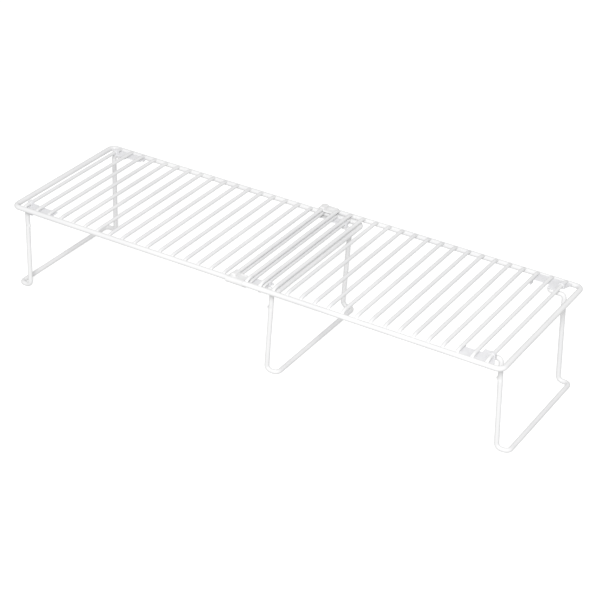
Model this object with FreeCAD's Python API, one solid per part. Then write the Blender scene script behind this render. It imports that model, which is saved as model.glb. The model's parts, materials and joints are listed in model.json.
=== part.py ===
import FreeCAD, Part
import math
import os

# Expandable wire shelf riser: two telescoping wire decks on three folding wire legs.
# Millimetres. X is the length, Y the depth, Z is up with the floor at zero.
# The deck layout is worked out from the centre line of the left end rail, and
# every X is moved by x_shift at the end so that the whole object is centred.

# ---- wires ----
RAIL_R = 3.0                # rim wire radius
CROSS_R = 2.1               # cross wire radius
LEG_R = 2.7                 # leg wire radius
TIP_ROUND = 0.6             # coating rounds off the cut wire tips
PITCH = 16.8                # spacing of the cross wires
RIM_CORNER_R = 7.5          # centre-line bend radius of the rim corners

# ---- decks ----
INNER_CROSS_COUNT = 20
OUTER_CROSS_COUNT = 19
INNER_FIRST = 0.83          # from the left end rail to the first inner cross wire, in pitches
OUTER_FIRST = 1.07          # from the right end rail to the first outer cross wire
INNER_PITCHES = 20.8        # length of the inner rim in cross wire pitches
FULL_PITCHES = 36.85        # length of both decks pulled right out
INNER_HALF = 97.2           # half spacing of the inner side rails
OUTER_HALF = 103.4          # half spacing of the outer side rails
INNER_RAIL_Z = 108.0
DECK_STEP = 3.1             # the outer deck rides this much higher, over the inner one
INNER_CROSS_LIFT = 2.7      # cross wires are saddled over the rims and welded down,
OUTER_CROSS_LIFT = 4.1      # their centres this much above the centre of the rim wire
INNER_TIP = 96.4            # half lengths of the cross wires
OUTER_TIP = 101.4
SIDE_RUN = 60.0             # a straight stretch of rail, longer than any bracket
OUTER_RAIL_START = 294.0    # open ends of the outer rim

# ---- legs ----
INNER_CRANK = 11.5          # from pivot line to the top of an upright
OUTER_CRANK = 18.5
FOOT_RUN = 14.0             # the foot bar stands this far outboard of the uprights
PIN_BEND_R = 3.6
CRANK_BEND_R = 4.5
FOOT_BEND_R = 6.0
INNER_LEG_HALF = 86.2       # half spacing of the uprights under the inner deck
OUTER_LEG_HALF = 80.3       # narrower, so it folds inside the middle leg
INNER_PIN_TIP = 93.7
OUTER_PIN_TIP = 96.0
END_TO_UPRIGHT = 10.0
MIDDLE_TO_UPRIGHT = 10.2
RIGHT_TO_UPRIGHT = 11.0
LEFT_LEAN = 2.5             # run of an upright over its height, towards the middle
MIDDLE_LEAN = 2.5
RIGHT_LEAN = -6.0           # this one leans outwards
NUB_R = 1.6                 # ear stamped in the top of the uprights
NUB_DROP = 23.0

# ---- hinge brackets ----
SHEET = 1.2
BARREL_R = 4.0
PIN_CLEARANCE = 0.08
STOP_GAP = 0.3              # between a crank and the plate it comes up against
PLATE_SINK = 0.05           # plates are tacked to the wires above them
STRAP_GAP = 0.05
STRAP_WIDTH = 4.0
TAB_LENGTH = 10.0

# ---- slide clips ----
CLIP_START = 292.0
CLIP_END = 313.0
CLIP_SKIN = 0.7             # plastic round the outer rail
CLIP_PLATE = 1.5            # thickness of the flat top
CLIP_RIB_SIDE = 0.8         # plastic round the outer cross wire that runs into the clip
CLIP_FLOOR = 1.2            # plastic of the hook under the inner rail
CLIP_GAP = 0.3              # running gap round the inner rail and its cross wires
CLIP_EDGE_R = 0.7
CLIP_TOP_INNER = 90.5
CLIP_LIP_INNER = 91.0
CLIP_CORNER_R = 4.0
RIB_CORNER_R = 1.2
RECESS_DEPTH = 0.5          # a shallow panel right of the rib
RECESS_INSET = 2.0
DIMPLE_R = 0.9
DIMPLE_DEPTH = 0.7
DIMPLE_INSET = 2.4          # from the open end of the clip
DIMPLE_YS = (95.5, 100.5)

SLIDE_TRAVEL = 214.0

# ---- worked out from the above ----
inner_length = INNER_PITCHES * PITCH
full_length = FULL_PITCHES * PITCH
outer_rail_z = INNER_RAIL_Z + DECK_STEP
inner_cross_z = INNER_RAIL_Z + INNER_CROSS_LIFT
outer_cross_z = outer_rail_z + OUTER_CROSS_LIFT
left_foot_x = END_TO_UPRIGHT + LEFT_LEAN - FOOT_RUN
right_foot_x = full_length - RIGHT_TO_UPRIGHT - RIGHT_LEAN + FOOT_RUN
x_shift = -(left_foot_x - LEG_R + right_foot_x + LEG_R) / 2

AXIS_Y = FreeCAD.Vector(0, 1, 0)
AXIS_Z = FreeCAD.Vector(0, 0, 1)
EPS = 0.001                 # shorter than this is no length at all


def vec(x, y, z):
    return FreeCAD.Vector(x, y, z)


def box(x0, x1, y0, y1, z0, z1):
    return Part.makeBox(x1 - x0, y1 - y0, z1 - z0, vec(x0, y0, z0))


def rod(radius, start, end):
    along = end - start
    return Part.makeCylinder(radius, along.Length, start, along)


def bend(radius, centre, start, normal, angle):
    # a torus piece: the wire's round section turned about the bend centre
    tangent = normal.cross(start - centre)
    circle = Part.makeCircle(radius, start, tangent)
    return Part.Face(Part.Wire(circle)).revolve(centre, normal, angle)


def bent_wire(radius, points, bend_radii, closed=False):
    # straight rods between the points, with each corner rounded to its bend radius
    count = len(points)
    pieces = []
    starts = list(points)
    ends = list(points)
    corners = range(count) if closed else range(1, count - 1)
    for i in corners:
        corner = points[i]
        into = (points[i - 1] - corner).normalize()
        out = (points[(i + 1) % count] - corner).normalize()
        half = into.getAngle(out) / 2
        setback = bend_radii[i] / math.tan(half)
        ends[i] = corner + into * setback
        starts[i] = corner + out * setback
        centre = corner + (into + out).normalize() * (bend_radii[i] / math.sin(half))
        normal = (ends[i] - centre).cross(starts[i] - centre).normalize()
        turn = 180.0 - math.degrees(2 * half)
        pieces.append(bend(radius, centre, ends[i], normal, turn))
    last = count if closed else count - 1
    for i in range(last):
        start = starts[i]
        end = ends[(i + 1) % count]
        if (end - start).Length > EPS:
            pieces.append(rod(radius, start, end))
    return pieces[0].multiFuse(pieces[1:]).removeSplitter()


def inner_rim():
    corners = [(0, -INNER_HALF), (inner_length, -INNER_HALF), (inner_length, INNER_HALF), (0, INNER_HALF)]
    points = [vec(x, y, INNER_RAIL_Z) for x, y in corners]
    return bent_wire(RAIL_R, points, [RIM_CORNER_R] * len(points), closed=True)


def outer_rim():
    # a U: its two open ends are held in the slide clips
    corners = [
        (OUTER_RAIL_START, -OUTER_HALF),
        (full_length, -OUTER_HALF),
        (full_length, OUTER_HALF),
        (OUTER_RAIL_START, OUTER_HALF),
    ]
    points = [vec(x, y, outer_rail_z) for x, y in corners]
    return bent_wire(RAIL_R, points, [RIM_CORNER_R] * len(points))


def side_rail(x, half, z):
    # the straight run of a rim beside x, used to shape whatever is welded against it
    return rod(RAIL_R, vec(x - SIDE_RUN, half, z), vec(x + SIDE_RUN, half, z))


def cross_wire(x, z, tip, rail_half, rail_z):
    wire = rod(CROSS_R, vec(x, -tip, z), vec(x, tip, z))
    rims = [edge for edge in wire.Edges if isinstance(edge.Curve, Part.Circle)]
    wire = wire.makeFillet(TIP_ROUND, rims)
    for half in (-rail_half, rail_half):
        wire = wire.cut(side_rail(x, half, rail_z))
    return wire


def plate_top(wire_z):
    return wire_z - CROSS_R + PLATE_SINK


def pivot_z(wire_z):
    return plate_top(wire_z) - SHEET - STOP_GAP - LEG_R


def leg(upright_x, inboard, crank, wire_z, half, pin_tip, lean):
    # one wire: pin, crank, upright, foot, bar, and the same again on the other side
    pivot_x = upright_x + inboard * crank
    foot_x = upright_x + inboard * lean
    bar_x = foot_x - inboard * FOOT_RUN
    top = pivot_z(wire_z)
    side = [
        (pivot_x, pin_tip, top),
        (pivot_x, half, top),
        (upright_x, half, top),
        (foot_x, half, LEG_R),
        (bar_x, half, LEG_R),
    ]
    radii = [0, PIN_BEND_R, CRANK_BEND_R, FOOT_BEND_R, FOOT_BEND_R]
    points = [vec(x, -y, z) for x, y, z in side] + [vec(x, y, z) for x, y, z in reversed(side)]
    wire = bent_wire(LEG_R, points, radii + radii[::-1])
    down = NUB_DROP / (top - LEG_R)
    nub_x = upright_x + (foot_x - upright_x) * down + inboard * (LEG_R - NUB_R / 2)
    nubs = [Part.makeSphere(NUB_R, vec(nub_x, sign * half, top - NUB_DROP)) for sign in (-1, 1)]
    return wire.multiFuse(nubs)


def strap(x, y0, y1, plate_z, wire_z, top_z):
    # sheet curled round one cross wire; cut off at top_z where wires must pass above
    outer_r = CROSS_R + STRAP_GAP + SHEET
    body = rod(outer_r, vec(x, y0, wire_z), vec(x, y1, wire_z))
    body = body.fuse(box(x - outer_r, x + outer_r, y0, y1, plate_z - SHEET, wire_z))
    body = body.common(box(x - outer_r, x + outer_r, y0, y1, plate_z - SHEET, top_z))
    return body


def bracket(spec, side):
    # built on the back side (positive Y), then mirrored for the front
    wire_z = spec["wire_z"]
    top = plate_top(wire_z)
    bottom = top - SHEET
    pivot_x = spec["pivot_x"]
    inboard = spec["inboard"]
    y_in = spec["y_in"]
    y_out = spec["rail_half"] - RAIL_R + SHEET

    def span(near, far):
        ends = sorted((pivot_x + inboard * near, pivot_x + inboard * far))
        return ends[0], ends[1]

    x0, x1 = span(-spec["outboard_reach"], spec["inboard_reach"])
    body = box(x0, x1, y_in, y_out, bottom, top)

    if spec["nose_reach"] > 0:
        base = pivot_x - inboard * spec["outboard_reach"]
        tip = base - inboard * spec["nose_reach"]
        outline = [
            vec(base, y_in, bottom),
            vec(tip, y_out - spec["nose_width"], bottom),
            vec(tip, y_out, bottom),
            vec(base, y_out, bottom),
            vec(base, y_in, bottom),
        ]
        nose = Part.Face(Part.makePolygon(outline)).extrude(AXIS_Z * SHEET)
        body = body.fuse(nose)

    tab = span(-TAB_LENGTH, SHEET)
    body = body.fuse(box(tab[0], tab[1], spec["tab_in"], y_in + SHEET, bottom, top))

    ear = span(spec["inboard_reach"] - SHEET, spec["inboard_reach"])
    body = body.fuse(box(ear[0], ear[1], spec["ear_in"], spec["ear_out"], spec["ear_bottom"], top))

    axle_z = pivot_z(wire_z)
    start = vec(pivot_x, spec["barrel_in"], axle_z)
    end = vec(pivot_x, spec["barrel_out"], axle_z)
    body = body.fuse(rod(BARREL_R, start, end))
    for x in spec["strap_xs"]:
        body = body.fuse(strap(x, y_in, y_in + STRAP_WIDTH, top, wire_z, spec["strap_top"]))
    for x in spec["strap_xs"]:
        wire_hole = rod(CROSS_R + STRAP_GAP, vec(x, 0, wire_z), vec(x, y_in + STRAP_WIDTH + EPS, wire_z))
        keep_plate = box(x - PITCH / 2, x + PITCH / 2, 0, spec["rail_half"], top, top + PITCH)
        body = body.cut(wire_hole.common(keep_plate))
    bore_start = vec(pivot_x, spec["barrel_in"] - SHEET, axle_z)
    bore_end = vec(pivot_x, spec["barrel_out"] + SHEET, axle_z)
    body = body.cut(rod(LEG_R + PIN_CLEARANCE, bore_start, bore_end))
    body = body.cut(side_rail(pivot_x, spec["rail_half"], spec["rail_z"]))
    body = body.removeSplitter()
    if side < 0:
        body = body.mirror(vec(0, 0, 0), AXIS_Y)
    return body


def inner_wire_x(number):
    return (number - 1 + INNER_FIRST) * PITCH


def outer_wire_x(number):
    return full_length - (number - 1 + OUTER_FIRST) * PITCH


def slide_clip(side):
    # plastic: it is fixed on the end of the outer rail and hooks round the inner rail
    plate_z = inner_cross_z + CROSS_R + CLIP_GAP
    plate_top_z = plate_z + CLIP_PLATE
    outside = OUTER_HALF + RAIL_R - CLIP_SKIN
    hook_start = INNER_TIP + CLIP_GAP
    channel_r = RAIL_R + CLIP_GAP
    hook_r = channel_r + CLIP_FLOOR
    grip_r = RAIL_R + CLIP_SKIN
    rib_r = CROSS_R + CLIP_RIB_SIDE
    wire_x = outer_wire_x(OUTER_CROSS_COUNT)

    def along(radius, y, z, start=CLIP_START):
        return rod(radius, vec(start, y, z), vec(CLIP_END, y, z))

    plate = box(CLIP_START, CLIP_END, CLIP_TOP_INNER, outside, plate_z, plate_top_z)
    corner_edges = [
        edge
        for edge in plate.Edges
        if abs(edge.BoundBox.YMax - CLIP_TOP_INNER) < EPS and edge.BoundBox.ZLength > EPS
    ]
    plate = plate.makeFillet(CLIP_CORNER_R, corner_edges)
    top_edges = [edge for edge in plate.Edges if abs(edge.BoundBox.ZMin - plate_top_z) < EPS]
    plate = plate.makeFillet(CLIP_EDGE_R, top_edges)

    rib_end = OUTER_TIP + CLIP_RIB_SIDE
    rib = box(wire_x - rib_r, wire_x + rib_r, CLIP_TOP_INNER, rib_end, plate_z, outer_cross_z + rib_r)
    rib_edges = [edge for edge in rib.Edges if edge.BoundBox.ZMax > outer_cross_z + rib_r - EPS]
    rib = rib.makeFillet(RIB_CORNER_R, rib_edges)

    grip = along(grip_r, OUTER_HALF, outer_rail_z)
    web = box(CLIP_START, CLIP_END, hook_start, outside, outer_rail_z, plate_z)
    hook_zone = box(CLIP_START, CLIP_END, hook_start, OUTER_HALF, INNER_RAIL_Z - hook_r, plate_z)
    hook = along(hook_r, INNER_HALF, INNER_RAIL_Z).common(hook_zone)
    lip_top = INNER_RAIL_Z - channel_r
    lip = box(CLIP_START, CLIP_END, CLIP_LIP_INNER, hook_start, lip_top - CLIP_FLOOR, lip_top)
    body = plate.multiFuse([rib, grip, web, hook, lip])

    body = body.cut(along(channel_r, INNER_HALF, INNER_RAIL_Z))
    body = body.cut(along(RAIL_R, OUTER_HALF, outer_rail_z, OUTER_RAIL_START))
    body = body.cut(rod(CROSS_R, vec(wire_x, 0, outer_cross_z), vec(wire_x, OUTER_TIP, outer_cross_z)))
    recess_start = wire_x + rib_r + RECESS_INSET
    recess_end = CLIP_END - RECESS_INSET
    recess_in = CLIP_TOP_INNER + RECESS_INSET
    recess_z = plate_top_z - RECESS_DEPTH
    body = body.cut(box(recess_start, recess_end, recess_in, OUTER_HALF - grip_r, recess_z, plate_top_z))
    for y in DIMPLE_YS:
        foot = vec(CLIP_START + DIMPLE_INSET, y, plate_top_z - DIMPLE_DEPTH)
        body = body.cut(Part.makeCylinder(DIMPLE_R, DIMPLE_DEPTH * 2, foot, AXIS_Z))
    body = body.removeSplitter()
    if side < 0:
        body = body.mirror(vec(0, 0, 0), AXIS_Y)
    return body


def save(shape, name):
    solid = shape.Solids[0]
    placed = solid.translated(vec(x_shift, 0, 0))
    placed.exportStep("parts/" + name + ".step")


left_upright_x = END_TO_UPRIGHT
middle_upright_x = inner_length - MIDDLE_TO_UPRIGHT
right_upright_x = full_length - RIGHT_TO_UPRIGHT
inner_end_face = inner_length + RAIL_R
right_stop_face = inner_end_face + SLIDE_TRAVEL + STOP_GAP
middle_stop_face = CLIP_END + STOP_GAP
middle_pivot_x = middle_upright_x - INNER_CRANK
right_pivot_x = right_upright_x - OUTER_CRANK
strap_over_inner = inner_cross_z + CROSS_R + STRAP_GAP + SHEET
strap_over_outer = outer_cross_z + CROSS_R + STRAP_GAP + SHEET

INNER_BRACKET = {
    "rail_z": INNER_RAIL_Z,
    "wire_z": inner_cross_z,
    "rail_half": INNER_HALF,
    "y_in": 82.0,
    "tab_in": 80.5,
    "outboard_reach": 7.5,
    "nose_reach": 0.0,
    "nose_width": 0.0,
    "barrel_in": 90.0,
    "barrel_out": 93.8,
    "ear_in": 89.5,
    "ear_out": 94.0,
}
left_bracket = dict(
    INNER_BRACKET,
    pivot_x=left_upright_x + INNER_CRANK,
    inboard=1,
    inboard_reach=29.0,
    ear_bottom=INNER_RAIL_Z - RAIL_R,
    strap_xs=(inner_wire_x(1),),
    strap_top=strap_over_inner,
)
middle_bracket = dict(
    INNER_BRACKET,
    pivot_x=middle_pivot_x,
    inboard=-1,
    inboard_reach=middle_pivot_x - middle_stop_face,
    ear_bottom=INNER_RAIL_Z - RAIL_R - CLIP_GAP - CLIP_FLOOR,
    strap_xs=(inner_wire_x(INNER_CROSS_COUNT),),
    strap_top=inner_cross_z + CROSS_R - STRAP_GAP,
)
right_bracket = {
    "rail_z": outer_rail_z,
    "wire_z": outer_cross_z,
    "rail_half": OUTER_HALF,
    "y_in": 86.0,
    "tab_in": 78.5,
    "pivot_x": right_pivot_x,
    "inboard": -1,
    "inboard_reach": right_pivot_x - right_stop_face,
    "outboard_reach": 14.5,
    "nose_reach": 4.0,
    "nose_width": 4.0,
    "barrel_in": 85.2,
    "barrel_out": 96.2,
    "ear_in": 80.5,
    "ear_out": 87.5,
    "ear_bottom": INNER_RAIL_Z,
    "strap_xs": (outer_wire_x(1),),
    "strap_top": strap_over_outer,
}

os.makedirs("parts", exist_ok=True)

save(inner_rim(), "inner_rim")
for number in range(1, INNER_CROSS_COUNT + 1):
    wire = cross_wire(inner_wire_x(number), inner_cross_z, INNER_TIP, INNER_HALF, INNER_RAIL_Z)
    save(wire, "inner_cross_wire_%02d" % number)

save(outer_rim(), "outer_rim")
for number in range(1, OUTER_CROSS_COUNT + 1):
    wire = cross_wire(outer_wire_x(number), outer_cross_z, OUTER_TIP, OUTER_HALF, outer_rail_z)
    save(wire, "outer_cross_wire_%02d" % number)

left_leg = leg(
    left_upright_x, 1, INNER_CRANK, inner_cross_z, INNER_LEG_HALF, INNER_PIN_TIP, LEFT_LEAN
)
middle_leg = leg(
    middle_upright_x, -1, INNER_CRANK, inner_cross_z, INNER_LEG_HALF, INNER_PIN_TIP, MIDDLE_LEAN
)
right_leg = leg(
    right_upright_x, -1, OUTER_CRANK, outer_cross_z, OUTER_LEG_HALF, OUTER_PIN_TIP, RIGHT_LEAN
)
save(left_leg, "left_leg")
save(middle_leg, "middle_leg")
save(right_leg, "right_leg")

for side, word in ((-1, "front"), (1, "back")):
    save(bracket(left_bracket, side), "left_hinge_bracket_" + word)
    save(bracket(middle_bracket, side), "middle_hinge_bracket_" + word)
    save(bracket(right_bracket, side), "right_hinge_bracket_" + word)
    save(slide_clip(side), "slide_clip_" + word)

print("x_shift", round(x_shift, 4), "inner pivot z", round(pivot_z(inner_cross_z), 3))
print("outer pivot z", round(pivot_z(outer_cross_z), 3))
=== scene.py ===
import json
import math

import bmesh
import bpy
from mathutils import Matrix, Vector


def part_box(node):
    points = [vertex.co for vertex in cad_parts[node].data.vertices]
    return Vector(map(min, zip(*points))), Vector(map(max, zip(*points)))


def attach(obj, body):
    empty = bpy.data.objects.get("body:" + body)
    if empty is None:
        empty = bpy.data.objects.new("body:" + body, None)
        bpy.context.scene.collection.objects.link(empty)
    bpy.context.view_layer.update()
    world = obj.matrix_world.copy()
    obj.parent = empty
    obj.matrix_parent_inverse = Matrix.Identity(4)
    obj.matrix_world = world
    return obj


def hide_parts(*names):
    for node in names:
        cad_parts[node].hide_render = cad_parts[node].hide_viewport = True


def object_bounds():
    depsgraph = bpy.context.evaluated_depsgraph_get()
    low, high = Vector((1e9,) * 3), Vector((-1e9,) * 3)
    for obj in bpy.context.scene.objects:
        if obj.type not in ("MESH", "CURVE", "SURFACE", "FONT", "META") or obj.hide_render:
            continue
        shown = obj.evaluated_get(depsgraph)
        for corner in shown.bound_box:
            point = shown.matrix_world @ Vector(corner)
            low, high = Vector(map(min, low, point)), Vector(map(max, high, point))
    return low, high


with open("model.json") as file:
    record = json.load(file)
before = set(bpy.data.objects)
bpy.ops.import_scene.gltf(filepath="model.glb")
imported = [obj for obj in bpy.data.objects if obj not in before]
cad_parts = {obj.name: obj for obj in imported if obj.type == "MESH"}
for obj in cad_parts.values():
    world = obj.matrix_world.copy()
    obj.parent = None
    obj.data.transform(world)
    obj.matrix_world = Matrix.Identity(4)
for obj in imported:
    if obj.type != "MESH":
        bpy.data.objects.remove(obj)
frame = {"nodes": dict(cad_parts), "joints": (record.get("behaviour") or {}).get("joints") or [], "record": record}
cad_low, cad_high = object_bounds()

MM = 0.001

# ---- the wires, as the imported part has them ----
RING = 20                    # vertices round a wire
BEND_STEPS = 12              # rings in a quarter turn
RIM_RING_STEP = 4.0 * MM     # longest gap between rings, so that shape can be added
CROSS_RING_STEP = 12.0 * MM
SEAT_RING_STEP = 0.7 * MM
SEAT_RINGS = 14
LEG_RING_STEP = 1.2 * MM
RIM_CORNER_R = 7.5 * MM
FOOT_RUN = 14.0 * MM
PIN_BEND_R = 3.6 * MM
CRANK_BEND_R = 4.5 * MM
FOOT_BEND_R = 6.0 * MM
LEG_R = 2.7 * MM
TIP_RINGS = 5
TIP_REACH = 0.7              # length of a rounded wire end, in radii
TIP_END = 0.3                # size of the flat at its very end, in radii
TIP_FLAT = 0.6               # how far the last ring stops short of that, in rings
SEAT_RUN = 9.0 * MM          # the hot wire end is squashed down on to the rail over this length
SEAT_PROUD = 0.3 * MM        # what is left of it above the rail
END_INSET = 1.0 * MM         # wire ends stop this far short of the rail's centre line
POOL_SPREAD = 0.45 * MM      # coating pooled in the crook of each weld
POOL_RUN = 2.1 * MM
BUTT_WELD_AT = 0.31          # along the back rail of the closed rim
BUTT_WELD_PROUD = 0.16 * MM
BUTT_WELD_RUN = 1.6 * MM
EAR_DROP = 23.0 * MM         # the ear stamped in each upright, below the pin
EAR_PROUD = 1.9 * MM
EAR_SPREAD = 1.7 * MM
EAR_PINCH = 0.2              # the wire narrows this much across the ear, in radii
LEG_HALF = {"left_leg": 86.2 * MM, "middle_leg": 86.2 * MM, "right_leg": 80.3 * MM}
LEG_CRANK = {"left_leg": 11.5 * MM, "middle_leg": 11.5 * MM, "right_leg": 18.5 * MM}

# ---- brackets and clips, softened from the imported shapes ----
SHEET_EDGE = 0.25 * MM
CLIP_EDGE = 0.35 * MM
EDGE_SEGMENTS = 3
EDGE_ANGLE = 35              # sharper than this counts as an edge, in degrees
FACET_ANGLE = 1.0            # flatter than this is one face
MERGE_GAP = 2e-6

# ---- camera ----
CAMERA_AT = (0.9018, -1.6203, 1.1045)
CAMERA_YAW = -28.738
CAMERA_DIP = 29.791
CAMERA_ROLL = 3.280
CAMERA_LENS = 113.180

# ---- stage ----
FLOOR_HALF = 8.0
FLOOR_GAP = 0.0002
WORLD_STRENGTH = 0.67
KEY_AT = (0.95, -2.05, 1.7)
KEY_AIM = (0, 0, 0.08)
KEY_SIZE = (0.7, 0.7)
KEY_POWER = 50.0

record = frame["record"]
bodies = record["behaviour"]["bodies"]
joints = {joint["name"]: joint for joint in frame["joints"]}
body_of_node = {node: body for body, nodes in bodies.items() for node in nodes}


# ------------------------------------------------------------------ materials
def new_material(name):
    material = bpy.data.materials.new(name)
    material.use_nodes = True
    tree = material.node_tree
    shader = tree.nodes["Principled BSDF"]
    return material, tree, shader


def noise(tree, coords, scale, detail=3.0, rough=0.5):
    node = tree.nodes.new("ShaderNodeTexNoise")
    node.inputs["Scale"].default_value = scale
    node.inputs["Detail"].default_value = detail
    node.inputs["Roughness"].default_value = rough
    tree.links.new(coords, node.inputs["Vector"])
    return node.outputs["Fac"]


def mix(tree, fac, a, b):
    node = tree.nodes.new("ShaderNodeMix")
    node.data_type = "RGBA"
    for value, socket in ((fac, node.inputs[0]), (a, node.inputs[6]), (b, node.inputs[7])):
        if isinstance(value, (int, float)):
            socket.default_value = value
        elif isinstance(value, tuple):
            socket.default_value = (*value, 1.0)
        else:
            tree.links.new(value, socket)
    return node.outputs[2]


def remap(tree, fac, low, high, out_low, out_high):
    node = tree.nodes.new("ShaderNodeMapRange")
    node.inputs["From Min"].default_value = low
    node.inputs["From Max"].default_value = high
    node.inputs["To Min"].default_value = out_low
    node.inputs["To Max"].default_value = out_high
    tree.links.new(fac, node.inputs["Value"])
    return node.outputs["Result"]


def bump(tree, shader, layers):
    normal = None
    for height, distance, strength in layers:
        node = tree.nodes.new("ShaderNodeBump")
        node.inputs["Distance"].default_value = distance
        node.inputs["Strength"].default_value = strength
        tree.links.new(height, node.inputs["Height"])
        if normal:
            tree.links.new(normal, node.inputs["Normal"])
        normal = node.outputs["Normal"]
    tree.links.new(normal, shader.inputs["Normal"])


def object_coords(tree):
    return tree.nodes.new("ShaderNodeTexCoord").outputs["Object"]


def coated_wire(name, tint, shade, rough_low, rough_high, peel):
    # baked white epoxy on steel wire: slightly uneven, with orange peel and handling scuffs
    material, tree, shader = new_material(name)
    at = object_coords(tree)
    broad = noise(tree, at, 14.0, 2.0)
    fine = noise(tree, at, 260.0, 4.0, 0.6)
    colour = mix(tree, remap(tree, broad, 0.35, 0.65, 0.0, 1.0), shade, tint)
    dust = noise(tree, at, 90.0, 5.0, 0.7)
    grime = tuple(c * 0.86 for c in shade)
    colour = mix(tree, remap(tree, dust, 0.60, 0.78, 0.0, 0.55), colour, grime)
    tree.links.new(colour, shader.inputs["Base Color"])
    scuff = noise(tree, at, 420.0, 6.0, 0.75)
    rough = mix(
        tree,
        remap(tree, scuff, 0.52, 0.70, 0.0, 1.0),
        remap(tree, broad, 0.3, 0.7, rough_low, rough_high),
        remap(tree, fine, 0.3, 0.7, rough_high, rough_high + 0.16),
    )
    tree.links.new(rough, shader.inputs["Roughness"])
    shader.inputs["Coat Weight"].default_value = 0.25
    shader.inputs["Coat Roughness"].default_value = 0.22
    shader.inputs["IOR"].default_value = 1.48
    bump(tree, shader, [(noise(tree, at, 700.0, 2.0), 0.00008, peel), (dust, 0.00012, 0.18)])
    return material


def pressed_sheet(name):
    # thin pressed steel under the same white coating, a little cooler and duller
    material, tree, shader = new_material(name)
    at = object_coords(tree)
    cloud = noise(tree, at, 60.0, 3.0)
    shade, tint = (0.74, 0.74, 0.755), (0.81, 0.81, 0.825)
    colour = mix(tree, remap(tree, cloud, 0.35, 0.65, 0.0, 1.0), shade, tint)
    rub = noise(tree, at, 340.0, 6.0, 0.8)
    colour = mix(tree, remap(tree, rub, 0.60, 0.76, 0.0, 0.7), colour, (0.64, 0.64, 0.66))
    tree.links.new(colour, shader.inputs["Base Color"])
    tree.links.new(remap(tree, rub, 0.35, 0.7, 0.34, 0.58), shader.inputs["Roughness"])
    shader.inputs["Coat Weight"].default_value = 0.15
    shader.inputs["Coat Roughness"].default_value = 0.3
    bump(tree, shader, [(noise(tree, at, 520.0, 3.0), 0.0001, 0.35), (cloud, 0.0003, 0.2)])
    return material


def moulded_clip(name):
    # off-white moulded plastic with a fine spark-eroded grain
    material, tree, shader = new_material(name)
    at = object_coords(tree)
    cloud = noise(tree, at, 45.0, 2.0)
    shade, tint = (0.74, 0.74, 0.74), (0.81, 0.81, 0.81)
    colour = mix(tree, remap(tree, cloud, 0.3, 0.7, 0.0, 1.0), shade, tint)
    scratch = noise(tree, at, 300.0, 7.0, 0.8)
    colour = mix(tree, remap(tree, scratch, 0.62, 0.8, 0.0, 0.5), colour, (0.66, 0.66, 0.66))
    tree.links.new(colour, shader.inputs["Base Color"])
    grain = noise(tree, at, 1500.0, 2.0)
    tree.links.new(remap(tree, grain, 0.3, 0.7, 0.42, 0.6), shader.inputs["Roughness"])
    shader.inputs["Sheen Weight"].default_value = 0.05
    bump(tree, shader, [(grain, 0.00006, 0.5), (scratch, 0.0001, 0.15)])
    return material


# name: tint, shade, roughness from and to, orange peel
COATINGS = {
    "rim": ((0.82, 0.82, 0.82), (0.77, 0.77, 0.775), 0.30, 0.44, 0.22),
    "cross": ((0.815, 0.815, 0.815), (0.765, 0.765, 0.77), 0.32, 0.46, 0.22),
    "leg": ((0.81, 0.81, 0.81), (0.76, 0.76, 0.765), 0.30, 0.46, 0.25),
}
MATERIALS = {
    "coated_" + part + "_wire": coated_wire(part + "_coating", *finish)
    for part, finish in COATINGS.items()
}
MATERIALS["hinge_bracket_sheet"] = pressed_sheet("bracket_coating")
MATERIALS["slide_clip_plastic"] = moulded_clip("clip_plastic")


# ------------------------------------------------------------------ wire pieces
def rounded_route(points, bend_radii, closed=False):
    # centre line of a bent wire: straight runs joined by arcs
    count = len(points)
    route = []
    for i, corner in enumerate(points):
        if not closed and i in (0, count - 1):
            route.append(corner)
            continue
        into = (points[i - 1] - corner).normalized()
        out = (points[(i + 1) % count] - corner).normalized()
        half = into.angle(out) / 2
        centre = corner + (into + out).normalized() * (bend_radii[i] / math.sin(half))
        first = corner + into * (bend_radii[i] / math.tan(half))
        last = corner + out * (bend_radii[i] / math.tan(half))
        turn = math.pi - 2 * half
        axis = (first - centre).cross(last - centre).normalized()
        steps = max(2, round(BEND_STEPS * turn / (math.pi / 2)))
        for step in range(steps + 1):
            arm = Matrix.Rotation(turn * step / steps, 3, axis) @ (first - centre)
            route.append(centre + arm)
    return route


def divide(route, longest, closed=False):
    # extra rings on the long straights, so that shape can be added along them
    out = []
    count = len(route)
    for i in range(count if closed else count - 1):
        a, b = route[i], route[(i + 1) % count]
        steps = max(1, math.ceil((b - a).length / longest))
        out += [a.lerp(b, step / steps) for step in range(steps)]
    if not closed:
        out.append(route[-1])
    return out


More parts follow.
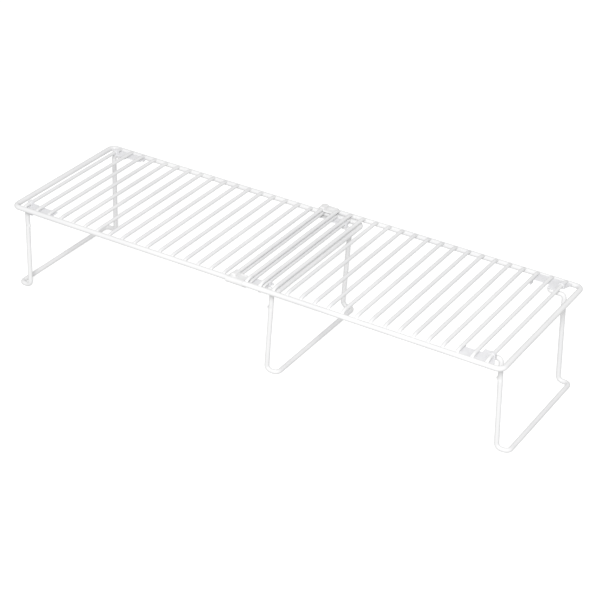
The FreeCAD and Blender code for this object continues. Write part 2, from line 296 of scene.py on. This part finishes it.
def sweep(name, route, radius, closed, shape):
    # shape(place, centre, outward) moves one vertex of one ring
    count = len(route)
    tangents = []
    for i in range(count):
        before = route[i - 1] if (closed or i) else route[i]
        after = route[(i + 1) % count] if (closed or i < count - 1) else route[i]
        tangents.append((after - before).normalized())
    side = tangents[0].cross(Vector((0, 0, 1)))
    if side.length < 0.1:
        side = tangents[0].cross(Vector((1, 0, 0)))
    side.normalize()
    rings = []
    if not closed:
        rings += tip_rings(route[0], -tangents[0], tangents[0], side, radius, shape)[::-1]
    for i, centre in enumerate(route):
        if i:
            side = (tangents[i - 1].rotation_difference(tangents[i]) @ side).normalized()
        up = side.cross(tangents[i])
        ring = []
        for k in range(RING):
            angle = math.tau * k / RING
            outward = side * math.cos(angle) + up * math.sin(angle)
            ring.append(shape(centre + outward * radius, centre, outward))
        rings.append(ring)
    if not closed:
        rings += tip_rings(route[-1], tangents[-1], tangents[-1], side, radius, shape)
    mesh = bmesh.new()
    grid = [[mesh.verts.new(place) for place in ring] for ring in rings]
    last = len(grid) if closed else len(grid) - 1
    for i in range(last):
        a, b = grid[i], grid[(i + 1) % len(grid)]
        for k in range(RING):
            mesh.faces.new((a[k], a[(k + 1) % RING], b[(k + 1) % RING], b[k]))
    if not closed:
        mesh.faces.new(grid[0])
        mesh.faces.new(grid[-1])
    bmesh.ops.recalc_face_normals(mesh, faces=mesh.faces)
    data = bpy.data.meshes.new(name)
    mesh.to_mesh(data)
    mesh.free()
    data.polygons.foreach_set("use_smooth", [True] * len(data.polygons))
    piece = bpy.data.objects.new(name, data)
    bpy.context.scene.collection.objects.link(piece)
    return piece


def tip_rings(end, outward, tangent, side, radius, shape):
    # the coating rounds the cut end; rings run from the full radius to a small flat
    up = side.cross(tangent)
    rings = []
    for step in range(1, TIP_RINGS + 1):
        turn = math.pi / 2 * step / (TIP_RINGS + TIP_FLAT)
        small = radius * (TIP_END + (1 - TIP_END) * math.cos(turn))
        centre = end + outward * radius * TIP_REACH * math.sin(turn)
        ring = []
        for k in range(RING):
            angle = math.tau * k / RING
            spoke = side * math.cos(angle) + up * math.sin(angle)
            ring.append(shape(centre + spoke * small, centre, spoke))
        rings.append(ring)
    return rings


def finish_piece(piece, node):
    slot_name = next(part["material_slot"] for part in record["subparts"] if part["node"] == node)
    piece.data.materials.clear()
    piece.data.materials.append(MATERIALS[slot_name])
    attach(piece, body_of_node[node])
    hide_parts(node)


def bell(distance, width):
    return math.exp(-((distance / width) ** 2))


def rim_piece(node, closed):
    low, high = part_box(node)
    radius = (high.z - low.z) / 2
    z = (high.z + low.z) / 2
    x0, x1, y0, y1 = low.x + radius, high.x - radius, low.y + radius, high.y - radius
    if not closed:
        x0 = low.x + TIP_REACH * radius
    corners = [(x0, y0), (x1, y0), (x1, y1), (x0, y1)]
    points = [Vector((x, y, z)) for x, y in corners]
    route = rounded_route(points, [RIM_CORNER_R] * len(points), closed)
    route = divide(route, RIM_RING_STEP, closed)
    seam = Vector((x0 + (x1 - x0) * BUTT_WELD_AT, y1, z))

    def weld_bead(place, centre, outward):
        # the butt weld that joins the wire's ends, dressed and coated over
        grow = BUTT_WELD_PROUD * bell((centre - seam).length, BUTT_WELD_RUN) if closed else 0.0
        return place + outward * grow

    finish_piece(sweep(node + "_wire", route, radius, closed, weld_bead), node)
    return z, radius, y1


def cross_piece(node, rail_z, rail_radius, rail_y):
    low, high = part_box(node)
    radius = (high.z - low.z) / 2
    centre_x = (low.x + high.x) / 2
    z = (high.z + low.z) / 2
    crest = z + radius - rail_z
    seated = (rail_radius + SEAT_PROUD) / crest
    tip = max(high.y, rail_y - END_INSET)
    last = tip - TIP_REACH * radius
    marks = [-last, 0.0, last]
    for sign in (-1, 1):
        marks += [sign * (last - step * SEAT_RING_STEP) for step in range(SEAT_RINGS)]
    marks = sorted(mark for mark in set(marks) if abs(mark) <= last)
    route = divide([Vector((centre_x, mark, z)) for mark in marks], CROSS_RING_STEP)

    def weld_seat(place, centre, outward):
        # squashed towards the rail, with coating pooled in the crook
        part = max(0.0, (abs(place.y) - tip + SEAT_RUN) / SEAT_RUN)
        ease = min(1.0, part) ** 2
        lowered = rail_z + (place.z - rail_z) * (1 + (seated - 1) * ease)
        near = bell(abs(centre.y) - rail_y, POOL_RUN)
        spread = POOL_SPREAD * near * (1.0 if outward.x > 0 else -1.0) * abs(outward.x) ** 0.5
        return Vector((place.x + spread, place.y, lowered))

    finish_piece(sweep(node + "_wire", route, radius, False, weld_seat), node)


def leg_piece(node, joint):
    low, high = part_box(node)
    pivot = Vector(joint["pos_m"])
    inboard = 1.0 if pivot.x < (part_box("inner_rim")[0].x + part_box("inner_rim")[1].x) / 2 else -1.0
    bar_x = low.x + LEG_R if inboard > 0 else high.x - LEG_R
    foot_x = bar_x + inboard * FOOT_RUN
    upright_x = pivot.x - inboard * LEG_CRANK[node]
    half = LEG_HALF[node]
    side = [
        (pivot.x, high.y - TIP_REACH * LEG_R, pivot.z),
        (pivot.x, half, pivot.z),
        (upright_x, half, pivot.z),
        (foot_x, half, LEG_R),
        (bar_x, half, LEG_R),
    ]
    radii = [0, PIN_BEND_R, CRANK_BEND_R, FOOT_BEND_R, FOOT_BEND_R]
    points = [Vector((x, -y, z)) for x, y, z in side]
    points += [Vector((x, y, z)) for x, y, z in reversed(side)]
    route = divide(rounded_route(points, radii + radii[::-1]), LEG_RING_STEP)
    ear_z = pivot.z - EAR_DROP

    def stamped_ear(place, centre, outward):
        # the wire is pinched flat near its top, which raises a small ear on its inboard side
        near = bell(centre.z - ear_z, EAR_SPREAD) if abs(abs(centre.y) - half) < MM else 0.0
        ear = EAR_PROUD * max(0.0, outward.x * inboard) ** 2
        squeeze = Vector((inboard * ear, -outward.y * EAR_PINCH * LEG_R, 0.0))
        return place + squeeze * near

    finish_piece(sweep(node + "_wire", route, LEG_R, False, stamped_ear), node)


def softened_copy(node, edge):
    # the CAD shape with its sheared or moulded edges broken
    source = frame["nodes"][node].data
    mesh = bmesh.new()
    mesh.from_mesh(source)
    bmesh.ops.remove_doubles(mesh, verts=mesh.verts, dist=MERGE_GAP)
    flat = math.radians(FACET_ANGLE)
    bmesh.ops.dissolve_limit(mesh, angle_limit=flat, verts=mesh.verts, edges=mesh.edges)
    data = bpy.data.meshes.new(node + "_part")
    mesh.to_mesh(data)
    mesh.free()
    piece = bpy.data.objects.new(node + "_part", data)
    bpy.context.scene.collection.objects.link(piece)
    bevel = piece.modifiers.new("edges", "BEVEL")
    bevel.width = edge
    bevel.segments = EDGE_SEGMENTS
    bevel.limit_method = "ANGLE"
    bevel.angle_limit = math.radians(EDGE_ANGLE)
    piece.modifiers.new("normals", "WEIGHTED_NORMAL")
    data.polygons.foreach_set("use_smooth", [True] * len(data.polygons))
    bpy.context.view_layer.update()
    evaluated = piece.evaluated_get(bpy.context.evaluated_depsgraph_get())
    solid = bpy.data.meshes.new_from_object(evaluated)
    piece.modifiers.clear()
    piece.data = solid
    finish_piece(piece, node)


inner_rail = rim_piece("inner_rim", True)
outer_rail = rim_piece("outer_rim", False)
for node in sorted(body_of_node):
    if node.startswith("inner_cross_wire"):
        cross_piece(node, *inner_rail)
    elif node.startswith("outer_cross_wire"):
        cross_piece(node, *outer_rail)
    elif "bracket" in node:
        softened_copy(node, SHEET_EDGE)
    elif "clip" in node:
        softened_copy(node, CLIP_EDGE)
for joint in joints.values():
    if joint["child"] in LEG_HALF:
        leg_piece(joint["child"], joint)


# ------------------------------------------------------------------ stage
def floor_material():
    material, tree, shader = new_material("floor_paper")
    at = object_coords(tree)
    cloud = noise(tree, at, 3.0, 2.0)
    colour = mix(tree, cloud, (0.93, 0.93, 0.93), (0.95, 0.95, 0.95))
    tree.links.new(colour, shader.inputs["Base Color"])
    shader.inputs["Roughness"].default_value = 0.9
    shader.inputs["Specular IOR Level"].default_value = 0.1
    shader.inputs["Emission Color"].default_value = (1.0, 1.0, 1.0, 1.0)
    shader.inputs["Emission Strength"].default_value = 0.3
    return material


def make_floor():
    mesh = bmesh.new()
    bmesh.ops.create_grid(mesh, x_segments=8, y_segments=8, size=FLOOR_HALF)
    data = bpy.data.meshes.new("floor")
    mesh.to_mesh(data)
    mesh.free()
    data.materials.append(floor_material())
    floor = bpy.data.objects.new("floor", data)
    bpy.context.scene.collection.objects.link(floor)
    floor.location.z = cad_low[2] - FLOOR_GAP
    # a cut-out look: the floor shows white but throws no light back up on the wires
    floor.visible_diffuse = False
    floor.visible_glossy = False
    floor.visible_shadow = False


def area_light(name, place, aim, size, power):
    data = bpy.data.lights.new(name, "AREA")
    data.shape = "RECTANGLE"
    data.size, data.size_y = size
    data.energy = power
    light = bpy.data.objects.new(name, data)
    bpy.context.scene.collection.objects.link(light)
    light.location = place
    light.rotation_euler = (Vector(aim) - Vector(place)).to_track_quat("-Z", "Y").to_euler()


def make_world():
    world = bpy.data.worlds.new("studio")
    bpy.context.scene.world = world
    world.use_nodes = True
    background = world.node_tree.nodes["Background"]
    background.inputs["Color"].default_value = (1.0, 1.0, 1.0, 1.0)
    background.inputs["Strength"].default_value = WORLD_STRENGTH


def make_camera():
    yaw, dip, roll = (math.radians(a) for a in (CAMERA_YAW, CAMERA_DIP, CAMERA_ROLL))
    forward = Vector((math.sin(yaw) * math.cos(dip), math.cos(yaw) * math.cos(dip), -math.sin(dip)))
    level = Vector((math.cos(yaw), -math.sin(yaw), 0.0))
    raised = level.cross(forward)
    right = level * math.cos(roll) + raised * math.sin(roll)
    up = raised * math.cos(roll) - level * math.sin(roll)
    data = bpy.data.cameras.new("camera")
    data.lens = CAMERA_LENS
    data.sensor_width = 36.0
    camera = bpy.data.objects.new("camera", data)
    bpy.context.scene.collection.objects.link(camera)
    turn = Matrix((right, up, -forward)).transposed()
    camera.matrix_world = Matrix.Translation(CAMERA_AT) @ turn.to_4x4()
    bpy.context.scene.camera = camera


make_floor()
make_world()
area_light("key", KEY_AT, KEY_AIM, KEY_SIZE, KEY_POWER)
make_camera()
view = bpy.context.scene.view_settings
view.view_transform = "Standard"
view.look = "None"
